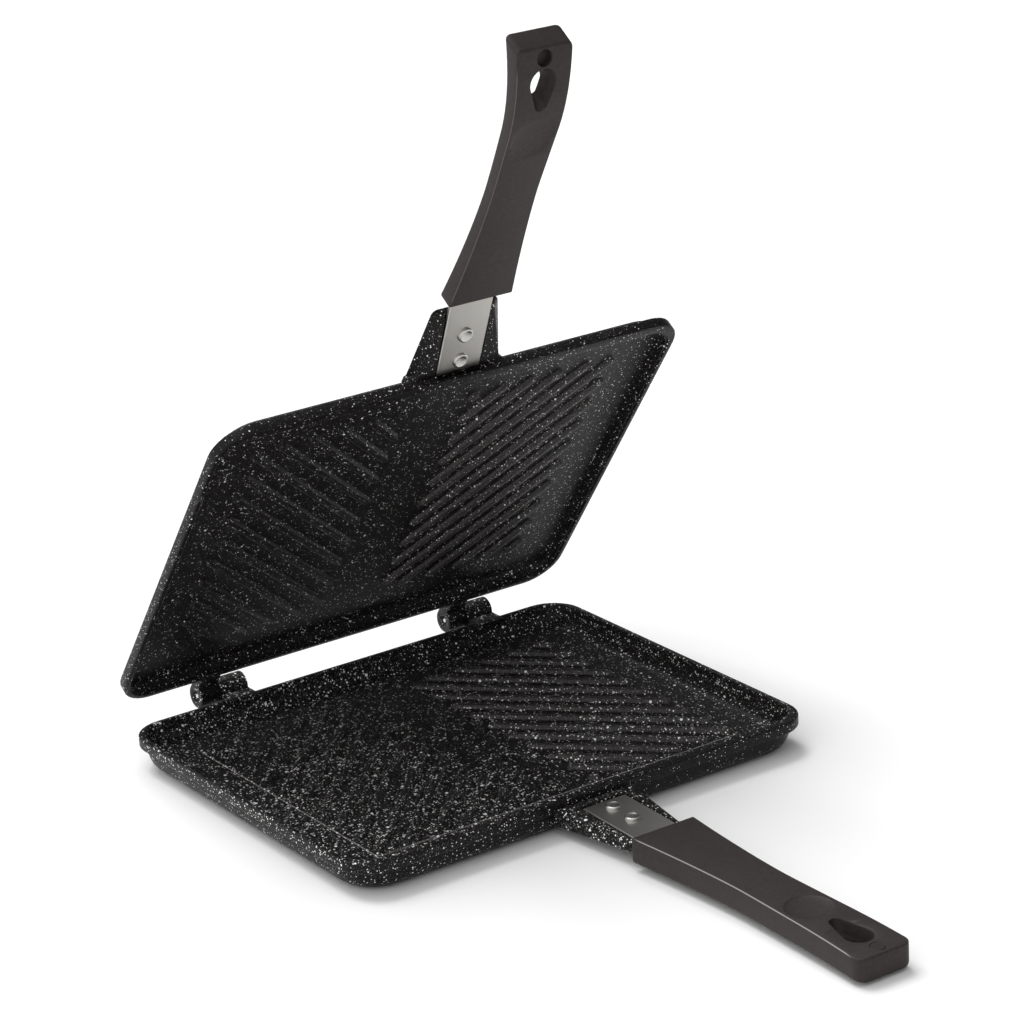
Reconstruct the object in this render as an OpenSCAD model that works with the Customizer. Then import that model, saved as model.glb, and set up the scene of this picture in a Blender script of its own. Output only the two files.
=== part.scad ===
// Hinged double-sided pan: two cast trays with ribbed floors, joined at the
// back by two pin hinges, each with a riveted steel strip and a moulded grip.
// Frame: Z = 0 is the resting face of the lower pan, X runs along the hinge,
// the grips point towards -Y and the hinge lies at +Y.
// Each half is drawn with its rim in the plane Z = 0 and its body below it.
// The lid is that same kind of half, mirrored, and turned open about the hinge.

/* [Pans] */
// Width of both pans, along the hinge
pan_w = 260; // [230:1:300]
// Depth of both pans, from the hinge side to the grip side
pan_d = 208.5; // [190:0.5:240]
// Corner radius of both rims, seen from above
corner_r = 18; // [14:0.5:22]
// Height of the lower pan, from its base to its rim
lower_h = 17; // [16.5:0.5:22]
// Height of the lid, from its rim to its flat back
upper_h = 11; // [10.5:0.5:16]
// Depth of the lower cavity
lower_cavity = 10.5; // [9:0.5:12]
// Depth of the cavity in the lid
upper_cavity = 7.2; // [6.5:0.1:7.5]
// Width of the rim at the sides and at the hinge
rim_w = 3.2; // [2.8:0.1:4.5]
// Width of the rim at the grip side
front_rim_w = 6.4; // [5:0.1:8]
// Height of the lip that runs round each rim
lip_h = 5.5; // [4.5:0.1:6]
// Step from the lip in to the wall beside it
lip_step = 2; // [1:0.1:2]
// Edge radius round the base of the lower pan
lower_edge_r = 9.5; // [5:0.5:10.5]
// Edge radius round the back of the lid
upper_edge_r = 8.5; // [3:0.5:9]
// Fillet radius between the floor and the walls of the lower cavity
lower_fillet_r = 8; // [5:0.5:9]
// Fillet radius between the floor and the walls of the lid's cavity
upper_fillet_r = 6; // [4:0.5:6.5]
// Gap between the two rims when the pan is shut
rim_gap = 0.3; // [0.2:0.1:1]

/* [Ribs] */
// Distance from one rib to the next, measured along the pan's depth
rib_pitch = 16.3; // [13:0.1:22]
// Width of a rib at its foot
rib_foot_w = 5; // [4:0.1:7]
// Width of a rib at its top
rib_top_w = 2.6; // [1.5:0.1:3.5]
// Height of a rib above the panel or the floor
rib_h = 1.9; // [1:0.1:2.5]
// Height of the raised panel that carries the ribs
panel_h = 0.5; // [0.3:0.1:1]
// Bare width between the raised panel and the side walls
panel_side_margin = 22.8; // [15:0.1:30]
// Bare width between the raised panel and the hinge-side wall
panel_back_margin = 21; // [15:0.5:30]
// Bare width between the raised panel and the grip-side wall
panel_front_margin = 18.9; // [15:0.1:30]
// Half of the bare strip between the left ribs and the right ribs
rib_mid_gap = 17; // [8:0.5:25]
// From the panel's outer back corner to the first rib, along both edges together
first_rib = 11; // [8:0.1:16]
// Distance from the ribs' ends to the edges of the raised panel
rib_inset = 0.6; // [0.3:0.1:3]

/* [Hinges] */
// Distance from the pans' back edge to the hinge axis
hinge_offset = 13; // [10:0.1:16]
// Outer radius of the knuckles
knuckle_r = 6.25; // [5:0.05:7]
// Length of each knuckle on the lid
lid_knuckle = 10.3; // [8:0.1:16]
// Length of each knuckle on the lower pan
base_knuckle = 12.3; // [8:0.1:16]
// Radius of the fillets between the knuckles' webs and the pans
web_fillet_r = 4; // [2:0.5:5]
// Gap between the two knuckles of a hinge
knuckle_gap = 0.4; // [0.2:0.1:1]
// Left end of the left hinge, measured from the pans' middle
left_hinge_x = -82.2; // [-95:0.1:-60]
// Left end of the right hinge, measured from the pans' middle
right_hinge_x = 66; // [40:0.1:75]
// Radius of the hinge pins
pin_r = 1.8; // [1.2:0.05:2.5]
// Radial running clearance of a pin in the lid's knuckle
pin_clearance = 0.05; // [0.02:0.01:0.1]
// How far each pin end lies inside the knuckle's end face
pin_recess = 0.3; // [0.1:0.1:1]
// Width of the countersink round a pin end
countersink_w = 1; // [0.5:0.1:1.5]
// How far the lid stands open, in degrees from shut
lid_open = 53.5; // [0:0.5:175]

/* [Handle strips] */
// Width of the steel strips
strip_w = 24; // [20:0.5:28]
// Thickness of the steel strips
strip_t = 2; // [1.5:0.1:2.5]
// Width of the tang that the grips are moulded round
tang_w = 16; // [12:0.5:18]
// Radius of the holes in the tang that the moulding fills
tang_hole_r = 3; // [2:0.1:4]
// How far the tangs reach into the grips
tang_l = 62; // [50:1:75]
// Depth of the lower strip's face below the rim at its pan end
lower_strip_z = 3.4; // [2.5:0.1:5]
// Depth of the lid strip's face behind the rim at its pan end
upper_strip_z = 5.2; // [5:0.1:6]
// Gap between the front edge of the lower pan and its strip
lower_strip_gap = 6; // [3:0.1:8]
// Gap between the front edge of the lid and its strip
upper_strip_gap = 1; // [0.5:0.1:3]
// Slope of the lower strip away from the rim, in degrees
lower_strip_slope = 1.9; // [0:0.1:4]
// Slope of the lid strip away from the rim, in degrees
upper_strip_slope = 13.8; // [10:0.1:14]
// Slope of the lid strip's tang after its bend, in degrees
upper_tang_slope = 5; // [4:0.1:7]
// From the lid's front edge to the bend in its strip
upper_bend_at = 38.5; // [37:0.5:42]

/* [Lugs] */
// Half width of the lugs at the pans
lug_root_w = 21; // [18:0.5:28]
// Half width of the lower lug at its end
lower_lug_end_w = 14.8; // [14:0.1:19]
// Half width of the lid's lug at its end
upper_lug_end_w = 16.2; // [14:0.1:19]
// Thickness of the lower lug at the pan
lower_lug_root_t = 9.5; // [7:0.1:10.5]
// Thickness of the lower lug at its end
lower_lug_end_t = 6.4; // [5.5:0.1:8]
// Thickness of the lid's lug at the pan
upper_lug_root_t = 5.8; // [5:0.1:7]
// Thickness of the lid's lug at its end
upper_lug_end_t = 5; // [4.5:0.1:6]
// How far the lug faces lie behind the strip's face at the pans
lug_root_drop = 0.1; // [0:0.1:0.5]
// How far the lower lug's face lies behind the strip's face at its end
lower_lug_drop = 0.3; // [0:0.1:1]
// How far the lid lug's face lies behind the strip's face at its end
upper_lug_drop = 1.3; // [0:0.1:1.8]
// Corner radius at the end of a lug
lug_corner_r = 3.5; // [1:0.5:5]
// Radius of the fillets between the lugs and the pans
lug_fillet_r = 5; // [2:0.5:8]
// Free width beside each edge of a strip in its lug
strip_side_gap = 1.4; // [0.5:0.1:2]
// Width of the seat under a strip
seat_w = 19; // [14:0.5:20]
// Depth of the grooves beside the seat, below the strip's back
groove_depth = 0.6; // [0.3:0.1:1]
// Gap between the end of the lower lug and its grip
lower_lug_gap = 1.8; // [1:0.1:5]
// Gap between the end of the lid's lug and its grip
upper_lug_gap = 14.2; // [10:0.1:16]

/* [Rivets] */
// Head radius of the rivets
rivet_head_r = 3.5; // [3:0.1:4.5]
// Height of a rivet's domed head
rivet_head_h = 1.5; // [1:0.1:2]
// Clearance round the rear heads, which sit in spot-faces in the lugs
spot_clearance = 0.4; // [0.2:0.1:1]
// Shank radius of the rivets
rivet_shank_r = 2; // [1.5:0.1:2.5]
// Distance between the two rivets of a strip
rivet_pitch = 14.6; // [10:0.1:18]
// From the pan end of the lower strip to its first rivet
lower_rivet_at = 7.6; // [5:0.1:10]
// From the pan end of the lid strip to its first rivet
upper_rivet_at = 4.6; // [4:0.1:8]

/* [Grips] */
// From the pan's front edge to the lower grip
lower_grip_gap = 50.6; // [45:0.1:60]
// From the lid's front edge to its grip
upper_grip_gap = 45.5; // [43:0.1:55]
// Length of the lower grip
lower_grip_l = 153.8; // [130:0.1:180]
// Length of the lid's grip, along the rim plane
upper_grip_l = 138.2; // [120:0.1:160]
// Half width of both grips at the pan end
grip_root_w = 17.6; // [14:0.1:22]
// Half width of both grips at the waist
grip_waist_w = 12.8; // [11:0.1:16]
// Half width of both grips at the free end
grip_end_w = 15; // [12:0.1:20]
// Depth of the lower grip's face below the rim at its pan end
lower_grip_z = 0.9; // [0:0.1:2]
// Distance of the lid grip's face from the rim at its pan end
upper_grip_z = 10.4; // [9.5:0.1:10.8]
// Slope of the lower grip's face away from the rim
lower_grip_slope = 0.014; // [0:0.001:0.03]
// Slope of the lid grip's face away from the rim
upper_grip_slope = 0.128; // [0.1:0.001:0.15]
// How far the lower grip's face curves away at the free end
lower_grip_curl = 1.2; // [0:0.1:2]
// How far the lid grip's face curves away at the free end
upper_grip_curl = 10.1; // [0:0.1:14]
// Length of the curved stretch at the free ends
grip_curl_l = 40; // [25:1:55]
// Thickness of the lower grip at the pan end
lower_root_t = 12.7; // [11:0.1:13.5]
// Thickness of the lower grip at mid length
lower_mid_t = 11.9; // [11:0.1:13.5]
// Thickness of the lower grip at the free end
lower_end_t = 11.2; // [9:0.1:12]
// Thickness of the lid's grip at the pan end
upper_root_t = 8.8; // [8.6:0.1:13]
// Thickness of the lid's grip at mid length
upper_mid_t = 6.8; // [6.6:0.1:12]
// Thickness of the lid's grip at the free end
upper_end_t = 7.2; // [7:0.1:13]
// Corner radius at the free end of the lower grip
lower_corner_r = 4; // [1:0.5:8]
// Corner cut at the free end of the lid's grip
upper_corner_cut = 5; // [1:0.5:8]

/* [Grip details] */
// Radius of the wide end of the hanging holes
hole_wide_r = 6.8; // [5:0.1:8]
// Radius of the narrow end of the hanging holes
hole_narrow_r = 2.8; // [2:0.1:4]
// From the free end to the middle of the wide end of the lower grip's hole
lower_hole_at = 17.6; // [15:0.1:22]
// From the free end to the middle of the wide end of the lid grip's hole
upper_hole_at = 16; // [14:0.1:22]
// Distance between the two ends of the lower grip's hole
lower_hole_l = 15.6; // [12:0.1:20]
// Distance between the two ends of the lid grip's hole
upper_hole_l = 10.2; // [8:0.1:14]
// Radius of the thumb dishes
dish_r = 11.3; // [8:0.1:12]
// Depth of the thumb dishes
dish_depth = 0.8; // [0.3:0.1:1.2]
// From the free end to the middle of the lower thumb dish
lower_dish_at = 50.2; // [45:0.1:60]
// From the free end to the middle of the lid's thumb dish
upper_dish_at = 42.2; // [41:0.1:55]
// Radius of the round plug and of the round recess near the free ends
plug_r = 3.4; // [2:0.1:4]
// Depth of the plug and of the recess
plug_depth = 3; // [2:0.1:4]
// From the free end of the lower grip to the middle of its plug
lower_plug_at = 5.7; // [4.6:0.1:6.5]
// From the free end of the lid's grip to the middle of its recess
upper_plug_at = 4.4; // [4.2:0.1:5.4]

/* [Hidden] */
$fn = 64;

// Colours, as the coating, the steel and the moulding show
coat = [0.10, 0.10, 0.105];
steel = [0.72, 0.72, 0.71];
moulding = [0.13, 0.12, 0.12];

// Small overlap that makes the pieces of one solid meet
weld = 0.5;
// Cutters reach this far past what they cut
past = 2;
// Rows of points along a grip's face
grip_rows = 28;

front_y = -pan_d / 2;
hinge_y = pan_d / 2 + hinge_offset;
hinge_z = lower_h + rim_gap / 2;
hinge_l = lid_knuckle + knuckle_gap + base_knuckle;
lug_reach = 9;
cavity_w = pan_w - 2 * rim_w;
cavity_d = pan_d - rim_w - front_rim_w;
cavity_y = (front_rim_w - rim_w) / 2;
cavity_corner_r = corner_r - rim_w;
panel_x = cavity_w / 2 - panel_side_margin;
panel_back = cavity_y + cavity_d / 2 - panel_back_margin;
panel_front = cavity_y - cavity_d / 2 + panel_front_margin;

// ---- Trays ----

// Section of a block's edge: distance from the corner's axis, height
module edge_section(r, h, edge_r, above) {
    translate([0, -h])
        square([r - edge_r, h + above]);
    translate([0, edge_r - h])
        square([r, h - edge_r + above]);
    intersection() {
        translate([r - edge_r, edge_r - h])
            circle(edge_r);
        translate([0, -h])
            square([r, h]);
    }
}

// Sweeps a section round a rectangle: its corners turn about (+-x, +-y)
module swept_section(x, y) {
    for (i = [0 : 3]) {
        a = i % 2 == 0 ? x : y;
        b = i % 2 == 0 ? y : x;
        rotate([0, 0, 90 * i])
            translate([a, b, 0]) {
                rotate_extrude(angle = 90)
                    children();
                rotate([90, 0, 0])
                    linear_extrude(2 * b)
                        children();
            }
    }
}

// Outside of a tray: a lip above a wall with a round lower edge
module tray_outside(h, edge_r) {
    x = pan_w / 2 - corner_r;
    y = pan_d / 2 - corner_r;
    swept_section(x, y) {
        union() {
            edge_section(corner_r - lip_step, h, edge_r, 0);
            translate([0, -lip_h])
                square([corner_r, lip_h]);
        }
    }
    translate([-x, -y, -h])
        cube([2 * x, 2 * y, h]);
}

// Cavity of a tray, open at the top
module tray_cavity(depth, fillet_r) {
    x = cavity_w / 2 - cavity_corner_r;
    y = cavity_d / 2 - cavity_corner_r;
    translate([0, cavity_y, 0]) {
        swept_section(x, y)
            edge_section(cavity_corner_r, depth, fillet_r, past);
        translate([-x, -y, -depth])
            cube([2 * x, 2 * y, depth + past]);
    }
}

// Ribs of the right half of a floor, at 45 degrees from back left to front right.
// One comb-shaped section is drawn along the ribs and trimmed to the rib field.
module rib_fan() {
    x_out = panel_x - rib_inset;
    y_back = panel_back - rib_inset;
    y_front = panel_front + rib_inset;
    first = panel_x + panel_back - first_rib;
    rows = floor((first - rib_mid_gap - y_front) / rib_pitch);
    start = (rib_mid_gap - y_back) / sqrt(2) - past;
    end = (x_out - y_front) / sqrt(2) + past;
    root = rib_foot_w / 2 + weld * (rib_foot_w - rib_top_w) / (2 * rib_h);
    teeth = [for (k = [rows : -1 : 0])
        let (q = (first - k * rib_pitch) / sqrt(2))
        each [[q - root, -weld], [q - rib_top_w / 2, rib_h],
            [q + rib_top_w / 2, rib_h], [q + root, -weld]]
    ];
    low = teeth[0][0] - 1;
    high = teeth[len(teeth) - 1][0] + 1;
    intersection() {
        rotate([0, 0, 45])
            rotate([90, 0, 0])
                translate([0, 0, start])
                    linear_extrude(end - start)
                        polygon(concat([[low, -2 * weld], [low, -weld]], teeth,
                            [[high, -weld], [high, -2 * weld]]));
        translate([rib_mid_gap, y_front, -3 * weld])
            cube([x_out - rib_mid_gap, y_back - y_front, rib_h + 4 * weld]);
    }
}

// Tray with its lip, cavity and ribs, on a raised panel or straight on the floor.
// What is cast on its outside comes as children, so the cavity stays clear of it.
module tray(h, edge_r, depth, fillet_r, raised) {
    difference() {
        union() {
            tray_outside(h, edge_r);
            children();
        }
        tray_cavity(depth, fillet_r);
    }
    if (raised > 0)
        translate([-panel_x, panel_front, -depth - 2 * weld])
            cube([2 * panel_x, panel_back - panel_front, 2 * weld + raised]);
    translate([0, 0, raised - depth]) {
        rib_fan();
        mirror([1, 0, 0])
            rib_fan();
    }
}

// ---- Strips and lugs ----

// Side outline of a strip: distance from the pan's front edge, height of the face
function strip_path(gap, z, slope, bend_at, tang_slope, end_at) = [
    [gap, -z],
    [bend_at, -z - (bend_at - gap) * tan(slope)],
    [end_at, -z - (bend_at - gap) * tan(slope) - (end_at - bend_at) * tan(tang_slope)]
];
lower_path = strip_path(lower_strip_gap, lower_strip_z, lower_strip_slope,
    lower_grip_gap, lower_strip_slope, lower_grip_gap + tang_l);
upper_path = strip_path(upper_strip_gap, upper_strip_z, upper_strip_slope,
    upper_bend_at, upper_tang_slope, upper_grip_gap + tang_l);

// Solid between the strip's face and its back, at a given width
module strip_slab(path, width, from, to) {
    intersection() {
        translate([-width / 2, front_y, 0])
            rotate([90, 0, 90])
                linear_extrude(width)
                    polygon(concat(
                        [for (p = path) [-p[0], p[1]]],
                        [for (i = [2 : -1 : 0]) [-path[i][0], path[i][1] - strip_t]]
                    ));
        translate([-width, front_y - to, -60])
            cube([2 * width, to - from, 60]);
    }
}

// Strip with its rivet holes and the holes in its tang
module strip(path, slope, rivet_at, grip_gap) {
    difference() {
        union() {
            strip_slab(path, strip_w, 0, grip_gap + 3);
            strip_slab(path, tang_w, grip_gap, grip_gap + tang_l);
        }
        rivet_places(path, slope, rivet_at)
            translate([0, 0, -strip_t - past])
                cylinder(h = strip_t + 2 * past, r = rivet_shank_r);
        for (s = [0.35, 0.75])
            translate([0, front_y - grip_gap - s * tang_l, -60])
                cylinder(h = 60, r = tang_hole_r);
    }
}

// Places a child at both rivets, with its Z axis square to the strip's face
module rivet_places(path, slope, rivet_at) {
    for (i = [0, 1])
        translate([0, front_y - path[0][0], path[0][1]])
            rotate([slope, 0, 0])
                translate([0, -rivet_at - i * rivet_pitch, 0])
                    children();
}

// Cap of a sphere that stands on Z = 0
module dome(r, h) {
    ball_r = (r * r + h * h) / (2 * h);
    intersection() {
        translate([0, 0, h - ball_r])
            sphere(ball_r);
        cylinder(h = h + 1, r = r);
    }
}

// Both rivets of a strip: a domed head on the face and another in the spot-face
module rivets(path, slope, rivet_at, stack) {
    rivet_places(path, slope, rivet_at) {
        dome(rivet_head_r, rivet_head_h);
        translate([0, 0, -stack])
            cylinder(h = stack, r = rivet_shank_r);
        translate([0, 0, -stack])
            mirror([0, 0, 1])
                dome(rivet_head_r, rivet_head_h);
    }
}

// Outline of a lug seen from above: fillets at the pan, round corners at the end
function arc(c, r, from, to) = [
    for (i = [0 : 6]) c + r * [cos(from + (to - from) * i / 6), sin(from + (to - from) * i / 6)]
];
function lug_outline(l, end_w) = concat(
    [[-lug_root_w - lug_fillet_r, lug_reach]],
    arc([-lug_root_w - lug_fillet_r, -lug_fillet_r], lug_fillet_r, 90, 0),
    arc([-end_w + lug_corner_r, -l + lug_corner_r], lug_corner_r, 180, 270),
    arc([end_w - lug_corner_r, -l + lug_corner_r], lug_corner_r, 270, 360),
    arc([lug_root_w + lug_fillet_r, -lug_fillet_r], lug_fillet_r, 180, 90),
    [[lug_root_w + lug_fillet_r, lug_reach]]
);

// Lug that carries a strip; t holds its thicknesses and drop its face's depths
module lug(path, slope, rivet_at, l, end_w, t, drop, stack) {
    rise = tan(slope);
    z_in = path[0][1] + (path[0][0] + lug_reach) * rise - drop[0];
    z_root = path[0][1] + path[0][0] * rise - drop[0];
    z_end = path[0][1] - (l - path[0][0]) * rise - drop[1];
    difference() {
        intersection() {
            translate([0, front_y, -60])
                linear_extrude(60)
                    polygon(lug_outline(l, end_w));
            translate([-lug_root_w - lug_fillet_r - 1, front_y, 0])
                rotate([90, 0, 90])
                    linear_extrude(2 * (lug_root_w + lug_fillet_r + 1))
                        polygon([
                            [lug_reach, z_in], [0, z_root], [-l, z_end],
                            [-l, z_end - t[1]], [0, z_root - t[0]],
                            [lug_reach, z_root - t[0]]
                        ]);
        }
        lug_channel(path, slope, l);
        rivet_places(path, slope, rivet_at) {
            translate([0, 0, -stack - past])
                cylinder(h = stack + 2 * past, r = rivet_shank_r);
            translate([0, 0, -stack - 2 * lower_lug_root_t])
                cylinder(h = 2 * lower_lug_root_t, r = rivet_head_r + spot_clearance);
        }
    }
}

// Room for the strip: a seat under it and a groove along each side
module lug_channel(path, slope, l) {
    width = strip_w + 2 * strip_side_gap;
    groove = (width - seat_w) / 2;
    translate([0, front_y - path[0][0], path[0][1]])
        rotate([slope, 0, 0]) {
            translate([-width / 2, -l - past, -strip_t])
                cube([width, l + past + path[0][0] * 0.2, strip_t + past]);
            for (x = [-width / 2, width / 2 - groove])
                translate([x, -l - past, -strip_t - groove_depth])
                    cube([groove, l + past, groove_depth + weld]);
        }
}

// ---- Hinges ----

// A knuckle whose axis is the hinge axis, with its filleted web to the pan
module knuckle(x, l, bore_r) {
    web_reach = hinge_offset + lip_step + 2;
    translate([x, hinge_y, rim_gap / 2])
        difference() {
            union() {
                rotate([0, 90, 0])
                    cylinder(h = l, r = knuckle_r);
                translate([0, -web_reach, -knuckle_r])
                    cube([l, web_reach, knuckle_r - rim_gap]);
            }
            translate([-past, 0, 0])
                rotate([0, 90, 0])
                    cylinder(h = l + 2 * past, r = bore_r);
        }
    for (s = [0, 1])
        translate([x + s * l, pan_d / 2, rim_gap / 2 - knuckle_r])
            mirror([1 - s, 0, 0])
                linear_extrude(knuckle_r - rim_gap)
                    difference() {
                        translate([-weld, -weld])
                            square(web_fillet_r + weld);
                        translate([web_fillet_r, web_fillet_r])
                            circle(web_fillet_r);
                    }
}

// A pin through both knuckles of a hinge, in the pose of the lower pan
module hinge_pin(x) {
    color(steel)
        translate([x + pin_recess, hinge_y, hinge_z])
            rotate([0, 90, 0])
                cylinder(h = hinge_l - 2 * pin_recess, r = pin_r);
}

// ---- Grips ----

// Height of a grip's face and its slope, at a distance s from its pan end
function curl_part(s, l) = max(0, s - l + grip_curl_l) / grip_curl_l;
function face_z(s, l, z, slope, curl) = -z - slope * s - curl * pow(curl_part(s, l), 2);
function face_slope(s, l, slope, curl) =
    -atan(slope + 2 * curl * curl_part(s, l) / grip_curl_l);
// Thickness through three values: pan end, mid length and free end
function thickness(u, t) =
    t[0] * (1 - u) * (1 - 2 * u) + 4 * t[1] * u * (1 - u) + t[2] * u * (2 * u - 1);
// Half width: widest at the pan end, a waist before mid length, wider again
waist_at = 0.47;
function half_width(u) = u < waist_at
    ? grip_waist_w + (grip_root_w - grip_waist_w) * pow(1 - u / waist_at, 1.6)
    : grip_waist_w + (grip_end_w - grip_waist_w)
        * pow((u - waist_at) / (1 - waist_at), 1.2);

// Places a child on a grip's face, square to it, at a distance s from its pan end
module on_face(s, l, z, slope, curl, gap) {
    translate([0, front_y - gap - s, face_z(s, l, z, slope, curl)])
        rotate([-face_slope(s, l, slope, curl), 0, 0])
            children();
}

// Grip without its holes: its outline from above, met by its outline from the side
module grip_body(gap, l, z, slope, curl, t, corner) {
    rows = [for (i = [0 : grip_rows]) i / grip_rows];
    side = [for (u = rows) [-gap - u * l, face_z(u * l, l, z, slope, curl)]];
    back = [for (u = rows)
        let (a = face_slope(u * l, l, slope, curl), d = thickness(u, t))
        [-gap - u * l - d * sin(a), face_z(u * l, l, z, slope, curl) - d * cos(a)]
    ];
    intersection() {
        translate([0, front_y - gap, -100])
            linear_extrude(100 + past)
                grip_plan(l, rows, corner);
        translate([-grip_root_w - 5, front_y, 0])
            rotate([90, 0, 90])
                linear_extrude(2 * grip_root_w + 10)
                    polygon(concat(
                        side,
                        [[-gap - l - 20, side[grip_rows][1] - 20 * slope],
                        [-gap - l - 20, back[grip_rows][1] - 20 * slope]],
                        [for (i = [grip_rows : -1 : 1]) back[i]],
                        [[-gap, back[0][1]]]
                    ));
    }
}

// A grip's outline from above, with its free-end corners cut or rounded
module grip_plan(l, rows, corner) {
    intersection() {
        polygon(concat(
            [for (u = rows) [half_width(u), -u * l]],
            [for (i = [grip_rows : -1 : 0]) [-half_width(rows[i]), -rows[i] * l]]
        ));
        grip_end_shape(l, corner);
    }
}

// Outline that trims the free-end corners: round ones, or straight cuts
module grip_end_shape(l, corner) {
    w = grip_end_w;
    if (corner[0] == "round") {
        translate([-w - 10, corner[1] - l])
            square([2 * w + 20, l]);
        translate([corner[1] - w, -l])
            square([2 * (w - corner[1]), l]);
        for (s = [-1, 1])
            translate([s * (w - corner[1]), corner[1] - l])
                circle(corner[1]);
    } else
        polygon([
            [-w - 10, l], [w + 10, l], [w + 10, -l + corner[1] + 10],
            [w - corner[1], -l], [corner[1] - w, -l], [-w - 10, -l + corner[1] + 10]
        ]);
}

// Outline of a hanging hole: a wide round end joined to a narrow one by tangents
module teardrop(l) {
    lean = asin((hole_wide_r - hole_narrow_r) / l);
    circle(hole_wide_r);
    translate([0, l])
        circle(hole_narrow_r);
    polygon([
        hole_wide_r * [cos(lean), sin(lean)],
        [hole_narrow_r * cos(lean), l + hole_narrow_r * sin(lean)],
        [-hole_narrow_r * cos(lean), l + hole_narrow_r * sin(lean)],
        hole_wide_r * [-cos(lean), sin(lean)]
    ]);
}

// Shallow round dish cut by a large ball
module dish_cutter() {
    ball_r = (dish_r * dish_r + dish_depth * dish_depth) / (2 * dish_depth);
    translate([0, 0, ball_r - dish_depth])
        sphere(ball_r, $fn = 180);
}

// Complete grip; at holds the places of its hole, dish and recess from the free end
module grip(gap, l, z, slope, curl, t, corner, hole_l, at) {
    difference() {
        grip_body(gap, l, z, slope, curl, t, corner);
        on_face(l - at[0], l, z, slope, curl, gap)
            translate([0, 0, -30])
                linear_extrude(60)
                    teardrop(hole_l);
        on_face(l - at[1], l, z, slope, curl, gap)
            dish_cutter();
        on_face(l - at[2], l, z, slope, curl, gap)
            translate([0, 0, -plug_depth])
                cylinder(h = plug_depth + past, r = plug_r);
    }
}

// ---- Poses ----

// Lower half: its rim is at the height of the lower pan
module lower_half() {
    translate([0, 0, lower_h])
        children();
}

// Lid: mirrored over the rim gap, then turned open about the hinge axis
module lid_half() {
    translate([0, hinge_y, hinge_z])
        rotate([-lid_open, 0, 0])
            translate([0, -hinge_y, rim_gap / 2])
                mirror([0, 0, 1])
                    children();
}

// ---- Nodes ----

// From the strip's face to the spot-faces in the backs of the lugs
lower_stack = lower_lug_end_t - 0.5;
upper_stack = upper_lug_end_t - 0.3;
lower_lug_l = lower_grip_gap - lower_lug_gap;
upper_lug_l = upper_grip_gap - upper_lug_gap;

module lower_pan() {
    color(coat)
        lower_half()
            tray(lower_h, lower_edge_r, lower_cavity, lower_fillet_r, panel_h) {
                lug(lower_path, lower_strip_slope, lower_rivet_at, lower_lug_l,
                    lower_lug_end_w, [lower_lug_root_t, lower_lug_end_t],
                    [lug_root_drop, lower_lug_drop], lower_stack);
                for (x = [left_hinge_x, right_hinge_x])
                    knuckle(x + lid_knuckle + knuckle_gap, base_knuckle, pin_r);
            }
}

module lid_pan() {
    color(coat)
        lid_half()
            tray(upper_h, upper_edge_r, upper_cavity, upper_fillet_r, 0) {
                lug(upper_path, upper_strip_slope, upper_rivet_at, upper_lug_l,
                    upper_lug_end_w, [upper_lug_root_t, upper_lug_end_t],
                    [lug_root_drop, upper_lug_drop], upper_stack);
                for (x = [left_hinge_x, right_hinge_x]) difference() {
                    knuckle(x, lid_knuckle, pin_r + pin_clearance);
                    translate([x - weld, hinge_y, rim_gap / 2])
                        rotate([0, 90, 0])
                            cylinder(h = weld + countersink_w,
                                r1 = pin_r + countersink_w + weld, r2 = pin_r);
                }
            }
}

module left_hinge_pin() {
    hinge_pin(left_hinge_x);
}

module right_hinge_pin() {
    hinge_pin(right_hinge_x);
}

module lower_strip() {
    color(steel)
        lower_half()
            strip(lower_path, lower_strip_slope, lower_rivet_at, lower_grip_gap);
}

module lid_strip() {
    color(steel)
        lid_half()
            strip(upper_path, upper_strip_slope, upper_rivet_at, upper_grip_gap);
}

module lower_rivets() {
    color(steel)
        lower_half()
            rivets(lower_path, lower_strip_slope, lower_rivet_at, lower_stack);
}

module lid_rivets() {
    color(steel)
        lid_half()
            rivets(upper_path, upper_strip_slope, upper_rivet_at, upper_stack);
}

module lower_grip() {
    color(moulding)
        lower_half()
            difference() {
                grip(lower_grip_gap, lower_grip_l, lower_grip_z, lower_grip_slope,
                    lower_grip_curl, [lower_root_t, lower_mid_t, lower_end_t],
                    ["round", lower_corner_r], lower_hole_l,
                    [lower_hole_at, lower_dish_at, lower_plug_at]);
                strip(lower_path, lower_strip_slope, lower_rivet_at, lower_grip_gap);
            }
}

module lid_grip() {
    color(moulding)
        lid_half()
            difference() {
                grip(upper_grip_gap, upper_grip_l, upper_grip_z, upper_grip_slope,
                    upper_grip_curl, [upper_root_t, upper_mid_t, upper_end_t],
                    ["cut", upper_corner_cut], upper_hole_l,
                    [upper_hole_at, upper_dish_at, upper_plug_at]);
                strip(upper_path, upper_strip_slope, upper_rivet_at, upper_grip_gap);
            }
}

module lower_grip_plug() {
    color(moulding)
        lower_half()
            on_face(lower_grip_l - lower_plug_at, lower_grip_l, lower_grip_z,
                    lower_grip_slope, lower_grip_curl, lower_grip_gap)
                translate([0, 0, -plug_depth])
                    cylinder(h = plug_depth, r = plug_r);
}

lower_pan();
lid_pan();
left_hinge_pin();
right_hinge_pin();
lower_strip();
lid_strip();
lower_rivets();
lid_rivets();
lower_grip();
lid_grip();
lower_grip_plug();
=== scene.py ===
"""Looks of a hinged double-sided pan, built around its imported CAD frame.

Both pans are drawn as halves: the rim lies at z = 0, the body below it, the grip
towards -Y. The lid is mirrored over the rim and turned open about the hinge.
Sizes are in millimetres here and become metres when a mesh is made.
"""

import math

import bmesh
import bpy
from mathutils import Matrix, Vector


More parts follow.
